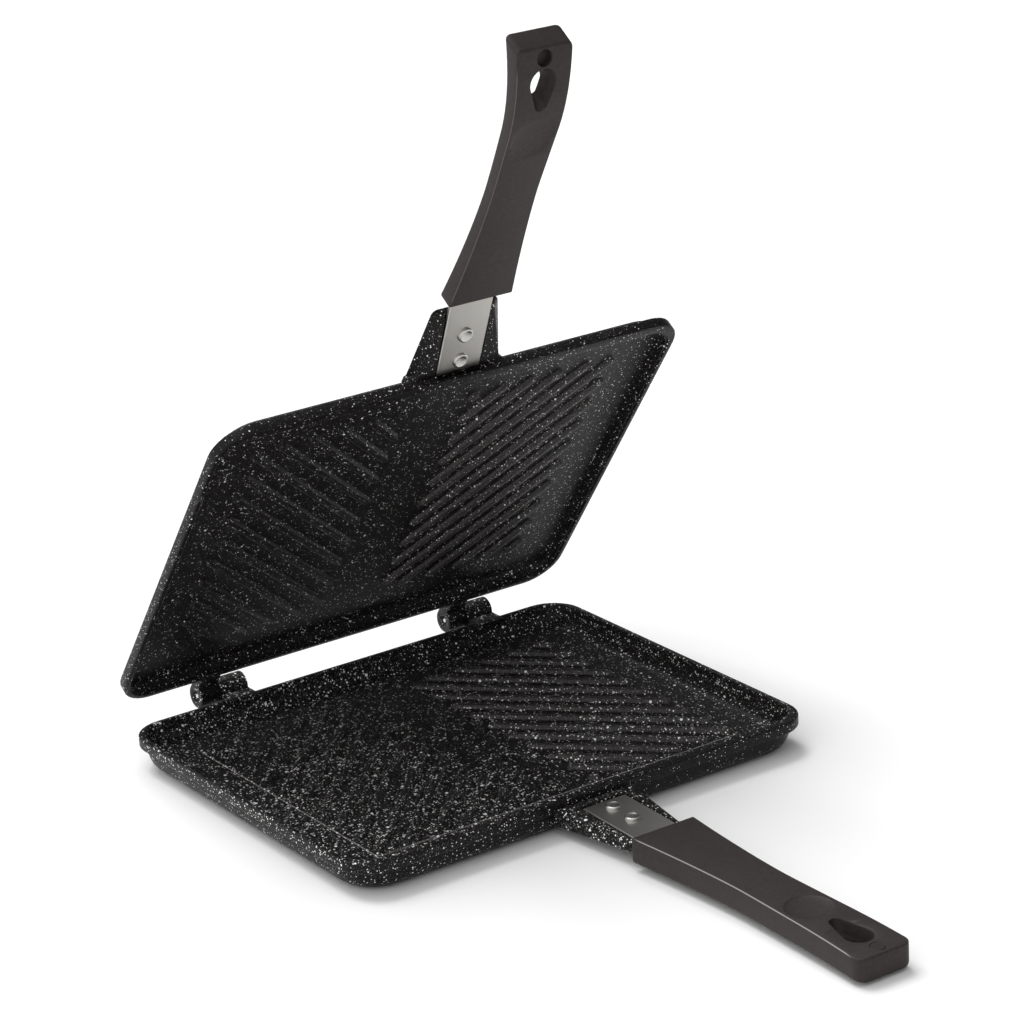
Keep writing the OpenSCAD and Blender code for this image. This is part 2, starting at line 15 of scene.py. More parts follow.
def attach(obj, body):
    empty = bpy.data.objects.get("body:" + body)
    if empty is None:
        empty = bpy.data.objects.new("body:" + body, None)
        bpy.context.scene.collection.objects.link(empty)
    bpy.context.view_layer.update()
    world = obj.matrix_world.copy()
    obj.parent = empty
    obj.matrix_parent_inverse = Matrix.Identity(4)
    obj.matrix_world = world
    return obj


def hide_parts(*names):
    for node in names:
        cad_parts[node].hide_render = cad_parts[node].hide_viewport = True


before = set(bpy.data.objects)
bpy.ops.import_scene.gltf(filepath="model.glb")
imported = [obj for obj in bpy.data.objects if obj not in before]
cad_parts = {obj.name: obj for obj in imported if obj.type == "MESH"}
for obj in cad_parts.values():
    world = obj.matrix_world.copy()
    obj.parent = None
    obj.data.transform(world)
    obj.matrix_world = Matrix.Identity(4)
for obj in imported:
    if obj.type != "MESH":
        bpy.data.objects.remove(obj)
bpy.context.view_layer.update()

MM = 0.001
ARC = 8                      # segments in a quarter turn of a corner seen from above
SHARP_FROM = 32.0            # edges that turn further than this many degrees stay sharp

# ---- Sizes, most of them the CAD part's own ----

PAN_W, PAN_D = 260.0, 208.5
CORNER_R = 18.0
LIP_H, LIP_STEP = 5.5, 2.0
BODY_CORNER = 6.0            # how much rounder the body's corners are than the lip's
RIM_W, FRONT_RIM_W = 3.2, 6.4
RIM_GAP = 0.3
# panel is the height of a raised panel under the ribs, plain how bare of flecks the outside is
LOWER = {"h": 17.0, "edge": 9.5, "depth": 10.5, "fillet": 8.0, "panel": 0.5,
         "plain": 0.75}
LID = {"h": 11.0, "edge": 8.5, "depth": 7.2, "fillet": 6.0, "panel": 0.0,
       "plain": 0.35}
FRONT_Y = -PAN_D / 2
HINGE_OFFSET = 13.0          # from the pans' back edges to the hinge axis
HINGE_Y = PAN_D / 2 + HINGE_OFFSET
HINGE_Z = LOWER["h"] + RIM_GAP / 2
LID_OPEN = 53.5              # degrees from shut
KNUCKLE_R = 6.25
LID_KNUCKLE, BASE_KNUCKLE, KNUCKLE_GAP = 11.0, 15.2, 0.4
HINGE_X = {"left": -82.2, "right": 66.0}
PIN_R, COUNTERSINK = 1.8, 1.0

PANEL_X, PANEL_BACK, PANEL_FRONT = 104.0, 80.05, -78.95
RIB_PITCH, RIB_H, RIB_FOOT = 16.3, 1.9, 5.0
RIB_MID_GAP, FIRST_RIB, RIB_INSET = 17.0, 11.0, 0.6
LEFT_RIB_HIGHLIGHT = 0.12             # share of the right ribs' painted highlight that the left ribs get

STRIP_W, STRIP_T, TANG_W = 24.0, 2.0, 16.0
STRIP_SIDE_GAP = 0.7         # free width beside each edge of a strip
TANG_START, TANG_END = 3.0, 60.0  # from a grip's pan end
RIVET_R, RIVET_H, RIVET_PITCH = 4.0, 1.5, 14.6
# A strip starts at gap from the pan's front edge, its face z below the rim. It falls at the
# angle slope up to bend, and at the angle tang beyond. Its end has the radius end. The
# first rivet sits at rivet from that end, and both hold a stack of that thickness.
LOWER_STRIP = {
    "gap": 6.0, "z": 3.4, "slope": 1.9, "bend": 50.6, "tang": 1.9, "rivet": 7.6, "end": 1.2,
    "stack": 5.9,
}
LID_STRIP = {
    "gap": -2.2, "z": 4.414, "slope": 13.8, "bend": 38.5, "tang": 5.0, "rivet": 7.8, "end": 2.4,
    "stack": 4.7,
}
POCKET_D = 3.4               # depth of the pocket in the lid's lip for the strip's end

LUG_REACH = 7.0              # how far a lug runs on into its pan
# Half widths of a lug's face at the pan and at the end, how far its back flares, and at both
# places its thickness and how far its face lies behind the strip's
LOWER_LUG = {
    "l": 48.8, "root_w": 20.6, "end_w": 14.6, "flare": 0.8, "t": (9.5, 5.4),
    "drop": (0.1, 0.3), "shift": 0.0,
}
LID_LUG = {
    "l": 31.3, "root_w": 22.4, "end_w": 15.4, "flare": 3.4, "t": (5.8, 5.0),
    "drop": (0.1, 1.1), "shift": 0.5,
}

# Half widths of both grips, and where the waist is as a share of the length.
# A grip starts at gap from the pan's front edge, its face z below the rim, and falls by
# slope, then by curl over its last part. Its thickness t is given at the pan end, the
# middle and the free end. Its radii are edge along the face, back along the back and round
# at the left and right corners of the free end, from which hole_at, dish_at and plug_at
# are measured. It lies off the middle by shift at its two ends.
GRIP_ROOT_W, GRIP_WAIST_W, GRIP_END_W, GRIP_WAIST_AT = 17.6, 12.8, 15.0, 0.47
# In both grips, line is how strong the painted highlight along the edges of the face is
LOWER_GRIP = {
    "gap": 50.6, "l": 153.8, "z": 0.9, "slope": 0.014, "curl": 1.2, "t": (12.7, 11.9, 11.2),
    "edge": 0.8, "back": 2.0, "round": (5.0, 5.0),
    "hole_at": 18.2, "hole_l": 14.0, "dish_at": 50.2, "plug_at": 5.7, "shift": (0.0, 0.0),
    "line": 1.0, "dish": 1.2, "plug_r": 3.4, "taper": 1.6,
}
LID_GRIP = {
    "gap": 43.2, "l": 137.6, "z": 10.1, "slope": 0.128, "curl": 10.1, "t": (8.8, 6.8, 9.4),
    "edge": 0.8, "back": 1.5, "round": (2.0, 2.8),
    "hole_at": 15.0, "hole_l": 10.2, "dish_at": 41.2, "plug_at": 4.6, "shift": (0.4, 1.2),
    "line": 0.25, "dish": 0.7, "plug_r": 3.9, "taper": 3.0,
}
CURL_L = 40.0                # the last part of a grip, which curls
HOLE_R, HOLE_NARROW_R = 6.6, 3.4
DISH_R = 11.3
PLUG_DEPTH = 3.6

# ---- Where each half stands ----

LOWER_PLACE = Matrix.Translation((0, 0, LOWER["h"]))
LID_PLACE = (
    Matrix.Translation((0, HINGE_Y, HINGE_Z))
    @ Matrix.Rotation(math.radians(-LID_OPEN), 4, "X")
    @ Matrix.Translation((0, -HINGE_Y, RIM_GAP / 2))
    @ Matrix.Diagonal((1, 1, -1, 1))
)


# ---- Mesh helpers ----

def highlight_and_plain_layer(bm):
    """Layer of the mesh with each point's painted highlight above zero, its plainness below."""
    return bm.verts.layers.float.get("highlight_and_plain") or bm.verts.layers.float.new("highlight_and_plain")


def loft(bm, loops, close_start=True, close_end=True, highlight_and_plain=None):
    """Skins closed loops of the same number of points, in the order given.

    The amounts give each loop's painted highlight on the coating; below zero it has fewer flecks.
    """
    layer = highlight_and_plain and highlight_and_plain_layer(bm)
    rings = [[bm.verts.new(p) for p in loop] for loop in loops]
    for ring, amount in zip(rings, highlight_and_plain or ()):
        for vert in ring:
            vert[layer] = amount
    count = len(rings[0])
    for a, b in zip(rings, rings[1:]):
        for i in range(count):
            j = (i + 1) % count
            bm.faces.new((a[i], a[j], b[j], b[i]))
    if close_start:
        bm.faces.new(rings[0][::-1])
    if close_end:
        bm.faces.new(rings[-1])
    return rings


def finish_mesh(bm, place, name):
    """Object from a bmesh in millimetres, turned into its place and shaded smooth."""
    bm.transform(Matrix.Scale(MM, 4) @ place)
    bmesh.ops.recalc_face_normals(bm, faces=bm.faces)
    mesh = bpy.data.meshes.new(name)
    bm.to_mesh(mesh)
    bm.free()
    for polygon in mesh.polygons:
        polygon.use_smooth = True
    mesh.set_sharp_from_angle(angle=math.radians(SHARP_FROM))
    obj = bpy.data.objects.new(name, mesh)
    bpy.context.scene.collection.objects.link(obj)
    return obj


def cut(bm_body, *cutters):
    """Returns the body with each cutter taken away, by exact booleans."""
    def as_object(bm, name):
        bmesh.ops.recalc_face_normals(bm, faces=bm.faces)
        mesh = bpy.data.meshes.new(name)
        bm.to_mesh(mesh)
        bm.free()
        obj = bpy.data.objects.new(name, mesh)
        bpy.context.scene.collection.objects.link(obj)
        return obj

    body = as_object(bm_body, "cut_body")
    tools = [as_object(c, "cutter") for c in cutters]
    for tool in tools:
        modifier = body.modifiers.new("cut", "BOOLEAN")
        modifier.operation = "DIFFERENCE"
        modifier.solver = "EXACT"
        modifier.object = tool
    bpy.context.view_layer.update()
    evaluated = body.evaluated_get(bpy.context.evaluated_depsgraph_get())
    result = bmesh.new()
    result.from_mesh(evaluated.to_mesh())
    for obj in [body, *tools]:
        mesh = obj.data
        bpy.data.objects.remove(obj)
        bpy.data.meshes.remove(mesh)
    return result


def add_bmesh(bm, other):
    """Adds the other mesh to this one, and frees it."""
    mesh = bpy.data.meshes.new("joined")
    other.to_mesh(mesh)
    other.free()
    bm.from_mesh(mesh)
    bpy.data.meshes.remove(mesh)


def rect_loop(half_w, half_d, corner_r, centre_y, inset, z):
    """Loop round a rectangle with round corners, drawn in by an inset."""
    r = max(corner_r - inset, 0.05)
    x, y = half_w - corner_r, half_d - corner_r
    loop = []
    for turn, (sx, sy) in enumerate(((1, 1), (-1, 1), (-1, -1), (1, -1))):
        for i in range(ARC + 1):
            a = math.radians(90 * (turn + i / ARC))
            loop.append((sx * x + r * math.cos(a), centre_y + sy * y + r * math.sin(a), z))
    return loop


def quarter(steps=4):
    """Sine and one minus cosine over a quarter turn, for rounded edges."""
    return [
        (math.sin(math.pi / 2 * i / steps), 1 - math.cos(math.pi / 2 * i / steps))
        for i in range(steps + 1)
    ]


def lathe(bm, profile, steps, place=Matrix.Identity(4)):
    """Closed solid turned about Z from (radius, height) points."""
    loops = [
        [
            place @ Vector((r * math.cos(2 * math.pi * i / steps),
                            r * math.sin(2 * math.pi * i / steps), z))
            for i in range(steps)
        ]
        for r, z in profile
    ]
    loft(bm, loops)


# ---- Pans ----

def add_tray(bm, size):
    """Shell of a tray: back, round edge, lip, rim, wall, fillet and floor."""
    outer = (PAN_W / 2, PAN_D / 2, CORNER_R, 0.0)
    body = (PAN_W / 2, PAN_D / 2, CORNER_R + BODY_CORNER, 0.0)
    cavity = (
        PAN_W / 2 - RIM_W,
        (PAN_D - RIM_W - FRONT_RIM_W) / 2,
        CORNER_R - RIM_W,
        (FRONT_RIM_W - RIM_W) / 2,
    )
    h, edge, depth, fillet = size["h"], size["edge"], size["depth"], size["fillet"]
    lip_fillet, lip_r, rim_r, inner_r, draft = 0.3, 0.8, 0.8, 1.0, 0.6
    loops = []
    # Round lower edge, up to the underside of the lip
    for i in range(11):
        a = math.pi / 2 * i / 10
        z = -h + edge * (1 - math.cos(a))
        if z > -LIP_H - lip_fillet:
            break
        loops.append(rect_loop(*body, LIP_STEP + edge * (1 - math.sin(a)), z))
    # In a shallow tray the round edge isn't over where the lip begins
    cut_off = max(0.0, LIP_H + edge - h) / edge
    under = LIP_STEP + edge * (1 - math.sqrt(1 - cut_off ** 2))
    loops.append(rect_loop(*body, under, -LIP_H - lip_fillet))
    loops.append(rect_loop(*outer, under - lip_fillet, -LIP_H))
    for s, c in quarter(3):
        loops.append(rect_loop(*outer, lip_r * (1 - s), -LIP_H + lip_r * c))
    for s, c in quarter(4):
        loops.append(rect_loop(*outer, rim_r * c, -rim_r * (1 - s)))
    # Rim's inner edge, wall with a little draft, fillet and floor
    outside = len(loops)
    for s, c in quarter(4):
        loops.append(rect_loop(*cavity, -inner_r * (1 - s), -inner_r * c))
    for i in range(1, 10):
        a = math.pi / 2 * (i - 1) / 8
        inset = draft + fillet * (1 - math.cos(a))
        loops.append(rect_loop(*cavity, inset, -depth + fillet * (1 - math.sin(a))))
    plain = [-size["plain"]] * outside
    loft(bm, loops, highlight_and_plain=plain + [0.0] * (len(loops) - outside))


def stadium(p, q, r, z, steps=7):
    """Loop at distance r round the line from p to q, at height z."""
    along = math.atan2(q[1] - p[1], q[0] - p[0])
    loop = []
    for centre, start in ((q, -90), (p, 90)):
        for i in range(steps + 1):
            a = along + math.radians(start + 180 * i / steps)
            loop.append((centre[0] + r * math.cos(a), centre[1] + r * math.sin(a), z))
    return loop


# Section of a rib from its foot to its top: share of the half foot width, share of the
# height, and how much painted highlight its coating gets, most on the flanks
RIB_SECTION = (
    (1.06, -0.25, 0.0), (1.06, 0.0, 0.0), (0.95, 0.07, 0.3), (0.88, 0.22, 1.0),
    (0.80, 0.45, 1.0), (0.72, 0.70, 1.0), (0.64, 0.87, 1.0), (0.54, 0.96, 0.8), (0.40, 1.0, 0.5),
)


def add_ribs(bm, floor_z):
    """Ribs at 45 degrees, mirrored on the floor's left half, with less painted highlight there."""
    end_r = RIB_FOOT / 2 + RIB_INSET
    x_in, x_out = RIB_MID_GAP + RIB_FOOT / 2, PANEL_X - end_r
    y_back, y_front = PANEL_BACK - end_r, PANEL_FRONT + end_r
    first = PANEL_X + PANEL_BACK - FIRST_RIB
    for k in range(20):
        c = first - k * RIB_PITCH
        low, high = max(x_in, c - y_back), min(x_out, c - y_front)
        if high - low < 1.0:
            continue
        for side in (1, -1):
            loops = [
                stadium((side * low, c - low), (side * high, c - high),
                        w * RIB_FOOT / 2, floor_z + t * RIB_H)
                for w, t, _ in RIB_SECTION
            ]
            # The flanks get a painted highlight, fainter on the left half, where the ribs catch
            # less light
            loft(bm, loops if side > 0 else [loop[::-1] for loop in loops],
                 highlight_and_plain=[painted_highlight * (1.0 if side > 0 else LEFT_RIB_HIGHLIGHT) for _, _, painted_highlight in RIB_SECTION])


def add_panel(bm, floor_z, height):
    """Shallow raised panel under the ribs, with a soft edge."""
    half_d = (PANEL_BACK - PANEL_FRONT) / 2
    panel = (PANEL_X, half_d, 3.0, (PANEL_BACK + PANEL_FRONT) / 2)
    steps = ((-0.3, -0.3), (-0.3, 0.0), (0.0, 0.15), (0.2, 0.42), (0.6, 0.5))
    # The two loops at the soft edge carry a strong painted highlight, which shows as light dashes
    loft(bm, [rect_loop(*panel, inset, floor_z + z * height / 0.5) for inset, z in steps],
         highlight_and_plain=(0.0, 0.0, 2.0, 2.0, 0.0))


def arc_points(cx, cy, r, start, end, steps=6):
    """Points on an arc between two angles in degrees."""
    return [
        (cx + r * math.cos(math.radians(start + (end - start) * i / steps)),
         cy + r * math.sin(math.radians(start + (end - start) * i / steps)))
        for i in range(steps + 1)
    ]


def offset_outline(points, inset):
    """Closed outline, anticlockwise, drawn in along the mean of its edge normals."""
    count, moved = len(points), []
    for i, (x, y) in enumerate(points):
        normals = []
        for a, b in ((points[i - 1], (x, y)), ((x, y), points[(i + 1) % count])):
            dx, dy = b[0] - a[0], b[1] - a[1]
            length = math.hypot(dx, dy) or 1.0
            normals.append((-dy / length, dx / length))
        nx, ny = (normals[0][0] + normals[1][0]) / 2, (normals[0][1] + normals[1][1]) / 2
        scale = inset / max(0.3, nx * nx + ny * ny)
        moved.append((x + nx * scale, y + ny * scale))
    return moved


def strip_z(strip, at):
    """Height of a strip's face at a distance from the pan's front edge."""
    if at <= strip["bend"]:
        return -strip["z"] - (at - strip["gap"]) * math.tan(math.radians(strip["slope"]))
    return strip_z(strip, strip["bend"]) - (at - strip["bend"]) * math.tan(
        math.radians(strip["tang"]))


def lug_outline(lug, extra, inset, reach, fillet_r, start):
    """Outline of a lug seen from above: widened by extra, then drawn in by an inset."""
    root = lug["root_w"] + extra - inset
    end = lug["end_w"] + extra - inset
    l = lug["l"] + extra * 0.3 - inset
    fillet_r, corner_r = fillet_r + inset, 3.5
    left = (
        [(-root - fillet_r, reach)]
        + arc_points(-root - fillet_r, start - fillet_r, fillet_r, 90, 8, 8)
        + arc_points(-end + corner_r, -l + corner_r, corner_r, 188, 270, 8)
    )
    points = left + [(-x, y) for x, y in reversed(left)]
    return [(x + lug["shift"], y) for x, y in points]


def lug_mesh(strip, lug, reach):
    """Lug with rounded edges and the channel for its strip cut out."""
    l, edge = lug["l"], 0.8
    rise = math.tan(math.radians(strip["slope"]))

    def face(y):
        share = max(0.0, -y / l)
        drop = lug["drop"][0] + (lug["drop"][1] - lug["drop"][0]) * share
        return -strip["z"] + (y + strip["gap"]) * rise - drop

    def back(y):
        share = max(0.0, -y / l)
        return face(min(y, 0.0)) - lug["t"][0] - (lug["t"][1] - lug["t"][0]) * share

    bm = bmesh.new()
    loops = []
    for s, c in quarter(3):
        loops.append([(x, y + FRONT_Y, back(y) + edge * c)
                      for x, y in lug_outline(lug, lug["flare"], edge * (1 - s), reach, 0.6, 3.0)])
    for s, c in reversed(quarter(3)):
        loops.append([(x, y + FRONT_Y, face(y) - edge * c)
                      for x, y in lug_outline(lug, 0.0, edge * (1 - s), reach, 2.6, 0.0)])
    loft(bm, loops)

    # Channel: a wide upper part for the strip and a groove on each side of its seat. It
    # starts past the strip's end, or short of it where that end lies in the lip's pocket.
    width, seat, groove = STRIP_W / 2 + STRIP_SIDE_GAP, 9.5, 0.6
    section = [(-width, 4.0), (-width, -STRIP_T - groove), (-seat, -STRIP_T - groove),
               (-seat, -STRIP_T), (seat, -STRIP_T), (seat, -STRIP_T - groove),
               (width, -STRIP_T - groove), (width, 4.0)]
    cutter = bmesh.new()
    turn = (Matrix.Translation((0, FRONT_Y - strip["gap"], -strip["z"]))
            @ Matrix.Rotation(math.radians(strip["slope"]), 4, "X"))
    loft(cutter, [[turn @ Vector((x, y, z)) for x, z in section]
                  for y in (strip["gap"] * 0.2, -l - 4)])
    return cut(bm, cutter)


def add_knuckle(bm, x0, length, countersink=0.0):
    """Knuckle with its web, rounded at both ends, and a fillet on each side of the web."""
    reach, edge = 17.0, 0.5
    gap_angle = math.degrees(math.asin(RIM_GAP / KNUCKLE_R))
    outline = (
        [(-reach, -KNUCKLE_R)]
        + arc_points(0, 0, KNUCKLE_R, -90, 180 + gap_angle, 28)
        + [(-reach, -RIM_GAP)]
    )
    loops = []
    for s, c in quarter(3):
        loops.append((x0 + edge * c, edge * (1 - s)))
    for s, c in reversed(quarter(3)):
        loops.append((x0 + length - edge * c, edge * (1 - s)))
    rings = [
        [(x, HINGE_Y + y, RIM_GAP / 2 + z) for y, z in offset_outline(outline, inset)]
        for x, inset in loops
    ]
    if countersink:
        made = loft(bm, rings, close_start=False)
        # Ring round the pin's end, and the countersink down to the pin
        hole = [
            [bm.verts.new((x0 + depth, HINGE_Y + r * math.cos(a), RIM_GAP / 2 + r * math.sin(a)))
             for a in [2 * math.pi * i / 32 for i in range(32)]]
            for r, depth in ((PIN_R + countersink + 0.2, 0.0), (PIN_R + countersink, 0.12),
                             (PIN_R, countersink + 0.4), (PIN_R, 3.0))
        ]
        for a, b in zip(hole, hole[1:]):
            for i in range(32):
                j = (i + 1) % 32
                bm.faces.new((a[i], a[j], b[j], b[i]))
        bm.faces.new(hole[-1])
        edges = [bm.edges.get((ring[i], ring[(i + 1) % len(ring)]))
                 for ring in (made[0], hole[0]) for i in range(len(ring))]
        bmesh.ops.triangle_fill(bm, use_beauty=True, edges=[e for e in edges if e])
    else:
        loft(bm, rings)
    fillet_r, sink = 2.8, 0.6
    for side, x in ((-1, x0), (1, x0 + length)):
        corner = ([(-sink, -sink), (fillet_r, -sink), (fillet_r, 0.0)]
                  + arc_points(fillet_r, fillet_r, fillet_r, 270, 180)[1:]
                  + [(-sink, fillet_r)])
        bottom, top = -KNUCKLE_R + sink, -RIM_GAP - 2 * sink
        loft(bm, [[(x + side * u, PAN_D / 2 + v, RIM_GAP / 2 + z) for u, v in corner]
                  for z in (bottom, top)])


def build_pan(name, size, strip, lug, place, half):
    """Whole casting of one half; the lid's knuckles show the pins in countersinks."""
    tray = bmesh.new()
    add_tray(tray, size)
    if strip["gap"] < 0:
        pocket = bmesh.new()
        half_w, corner = STRIP_W / 2 + STRIP_SIDE_GAP, 1.0
        loft(pocket, [rect_loop(half_w, POCKET_D + corner, corner, FRONT_Y - corner, inset, z)
                      for inset, z in ((0.0, -9.0), (0.0, -1.9), (0.3, -1.5))])
        tray = cut(tray, pocket)
    bm = lug_mesh(strip, lug, LUG_REACH)
    add_bmesh(bm, tray)
    if size["panel"]:
        add_panel(bm, -size["depth"], size["panel"])
    add_ribs(bm, -size["depth"] + size["panel"])
    for x in HINGE_X.values():
        if half == "lid":
            add_knuckle(bm, x, LID_KNUCKLE, COUNTERSINK)
        else:
            add_knuckle(bm, x + LID_KNUCKLE + KNUCKLE_GAP, BASE_KNUCKLE)
    return finish_mesh(bm, place, name)


# ---- Strips, rivets and pins ----

def strip_mesh(strip, grip):
    """Flat strip with a tang, its edges broken."""
    edge = 0.35
    end_r = strip["end"]
    stations = [strip["gap"] + end_r * c for _, c in quarter(8)][:-1]
    tang = grip["gap"] + TANG_START
    stations += [strip["gap"] + end_r, strip["bend"], tang, tang + 0.01, grip["gap"] + TANG_END]
    bm = bmesh.new()
    loops = []
    for at in stations:
        half = (STRIP_W if at <= tang else TANG_W) / 2
        inset = end_r - math.sqrt(max(0.0, end_r ** 2 - max(0.0, strip["gap"] + end_r - at) ** 2))
        z, y = strip_z(strip, at), FRONT_Y - at
        loops.append([
            (-half + edge, y, z - inset), (-half, y, z - edge - inset),
            (-half, y, z - STRIP_T + edge - inset), (-half + edge, y, z - STRIP_T - inset),
            (half - edge, y, z - STRIP_T - inset), (half, y, z - STRIP_T + edge - inset),
            (half, y, z - edge - inset), (half - edge, y, z - inset),
        ])
    loft(bm, loops)
    return bm


def rivet_place(strip, index):
    """Place on a strip's face, square to it, of one rivet."""
    return (Matrix.Translation((0, FRONT_Y - strip["gap"], -strip["z"]))
            @ Matrix.Rotation(math.radians(strip["slope"]), 4, "X")
            @ Matrix.Translation((0, -strip["rivet"] - index * RIVET_PITCH, 0)))


RIVET_SECTION = ((1.0, -0.3), (1.0, 0.3), (0.985, 0.52), (0.94, 0.7), (0.87, 0.82),
                 (0.78, 0.86), (0.68, 0.82), (0.56, 0.72), (0.42, 0.66), (0.02, 0.62))


def rivet_mesh(strip):
    """Both rivets of a strip, each with a dimpled head and a head behind the lug."""
    bm, stack = bmesh.new(), strip["stack"]
    for index in (0, 1):
        at = rivet_place(strip, index)
        lathe(bm, [(r * RIVET_R, h * RIVET_H) for r, h in RIVET_SECTION], 40, at)
        lathe(bm, [(0.02, -stack - 1.5), (1.9, -stack - 1.2), (3.5, -stack),
                   (2.0, -stack), (2.0, -0.1), (0.02, -0.1)], 32, at)
    return bm


def pin_mesh(x0):
    """Hinge pin with lightly domed ends."""
    length = LID_KNUCKLE + KNUCKLE_GAP + BASE_KNUCKLE - 0.6
    turn = (Matrix.Translation((x0 + 0.3, HINGE_Y, HINGE_Z))
            @ Matrix.Rotation(math.radians(90), 4, "Y"))
    bm = bmesh.new()
    lathe(bm, [(0.05, 0.0), (0.6, 0.06), (1.0, 0.25), (1.25, 0.6), (1.3, 1.2), (PIN_R, 1.5),
               (PIN_R, length - 0.6), (1.5, length - 0.25), (0.05, length)], 32, turn)
    return bm


# ---- Grips ----

def grip_face(grip, s):
    """Height and slope of a grip's face at a distance from its pan end."""
    part = max(0.0, s - grip["l"] + CURL_L) / CURL_L
    z = -grip["z"] - grip["slope"] * s - grip["curl"] * part * part
    return z, grip["slope"] + 2 * grip["curl"] * part / CURL_L


def grip_thickness(grip, s):
    """Thickness through three values: pan end, middle and free end."""
    u, (a, b, c) = s / grip["l"], grip["t"]
    return a * (1 - u) * (1 - 2 * u) + 4 * b * u * (1 - u) + c * u * (2 * u - 1)


def grip_half_width(grip, s, side):
    """Half width on one side: widest at the pan end, a waist, wider again, a round corner."""
    u = s / grip["l"]
    if u < GRIP_WAIST_AT:
        w = GRIP_WAIST_W + (GRIP_ROOT_W - GRIP_WAIST_W) * (1 - u / GRIP_WAIST_AT) ** 1.6
    else:
        w = GRIP_WAIST_W + (GRIP_END_W - GRIP_WAIST_W) * (
            (u - GRIP_WAIST_AT) / (1 - GRIP_WAIST_AT)) ** 1.2
    left, r = grip["l"] - s, grip["round"][side]
    if left < r:
        w -= r - math.sqrt(max(0.0, r * r - (r - left) ** 2))
    return w


def grip_shift(grip, s):
    """Sideways offset of a grip's middle line at a distance from its pan end."""
    start, end = grip["shift"]
    return start + (end - start) * s / grip["l"]


def section_loop(left, right, top, bottom, edge, back, y):
    """Rounded rectangle across a grip: small radii at its face, larger ones at its back."""
    loop = []
    for cx, cz, r, start in (
        (right - edge, top - edge, edge, 0), (-left + edge, top - edge, edge, 90),
        (-left + back, bottom + back, back, 180), (right - back, bottom + back, back, 270),
    ):
        for px, pz in arc_points(cx, cz, r, start, start + 90, 5):
            loop.append((px, y, pz))
    return loop


def grip_stations(grip, end_r):
    """Distances from the pan end at which a grip's sections are drawn."""
    l, steps = grip["l"], 34
    corner = max(grip["round"])
    stations = [end_r * c for _, c in quarter(4)]
    stations += [end_r + (l - corner - end_r) * i / steps for i in range(1, steps)]
    stations += [l - corner + corner * math.sin(math.pi / 2 * i / 10) for i in range(10)]
    stations = [s for s in stations if s < l - end_r - 0.05]
    return stations + [l - end_r * c for _, c in reversed(quarter(4))]


def grip_body(grip):
    """Grip before its hole, dish and recess are cut."""
    l, end_r = grip["l"], 0.9
    bm, loops = bmesh.new(), []
    for s in grip_stations(grip, end_r):
        near = max(0.0, end_r - s, end_r - (l - s))
        inset = end_r - math.sqrt(max(0.0, end_r ** 2 - near ** 2))
        z, m = grip_face(grip, s)
        t = grip_thickness(grip, s) * math.sqrt(1 + m * m)
        left, right = (grip_half_width(grip, s, side) - inset for side in (0, 1))
        left, right = left - grip_shift(grip, s), right + grip_shift(grip, s)
        loops.append(section_loop(left, right, z - inset, z - t + inset, grip["edge"],
                                  grip["back"], FRONT_Y - grip["gap"] - s))
    loft(bm, loops)
    return bm


def mark_highlight_line(bm, grip):
    """Marks a painted highlight line along both edges of the face."""
    layer = highlight_and_plain_layer(bm)
    # Middle of the edge's arc, inside the corner that it rounds
    inside = grip["edge"] * (1 - math.sqrt(0.5))
    for vert in bm.verts:
        s = FRONT_Y - grip["gap"] - vert.co.y
        vert[layer] = 0.0
        if not 2.0 < s < grip["l"] - 7.0:
            continue
        side = 1 if vert.co.x > grip_shift(grip, s) else 0
        out = abs(vert.co.x - grip_shift(grip, s))
        off_edge = out - grip_half_width(grip, s, side) + inside
        off_face = vert.co.z - grip_face(grip, s)[0] + inside
        if math.hypot(off_edge, off_face) < 0.25:
            vert[layer] = grip["line"]


def on_face(grip, s):
    """Frame on a grip's face at a distance from its pan end: Z square to the face."""
    z, m = grip_face(grip, s)
    return (Matrix.Translation((grip_shift(grip, s), FRONT_Y - grip["gap"] - s, z))
            @ Matrix.Rotation(math.atan(m), 4, "X"))


def teardrop_loop(wide, narrow, length, z):
    """Outline of a hanging hole, its narrow end towards +Y."""
    lean = math.degrees(math.asin((wide - narrow) / length))
    points = arc_points(0, length, narrow, lean, 180 - lean, 10)
    points += arc_points(0, 0, wide, 180 - lean, 360 + lean, 24)
    return [(x, y, z) for x, y in points]


def hole_cutter(grip):
    """Cutter for the hanging hole: a flared mouth, then walls that close in to the back."""
    s = grip["l"] - grip["hole_at"]
    place, t, flare = on_face(grip, s), grip_thickness(grip, s), 1.0
    stack = [(flare + 1.5, 3.0, 0.0), (flare, 0.02, 0.0)]
    for i in range(1, 5):
        a = math.pi / 2 * i / 4
        stack.append((flare * (1 - math.sin(a)), -flare * (1 - math.cos(a)), 0.0))
    # Parting line half way down, then on through the back
    taper, middle, line, groove = grip["taper"], -0.52 * t, 0.12, 0.25
    stack += [(-taper * 0.5, middle + line, 0.5), (-taper * 0.5 + groove, middle, 0.5),
              (-taper * 0.5, middle - line, 0.5), (-taper, -t - 0.2, 1.0),
              (-taper, -t - 3.0, 1.0)]
    bm = bmesh.new()
    loft(bm, [[place @ Vector(p) for p in teardrop_loop(
        HOLE_R + f, HOLE_NARROW_R + f * 0.5, grip["hole_l"] * (1 - 0.45 * back), h)]
        for f, h, back in stack])
    return bm


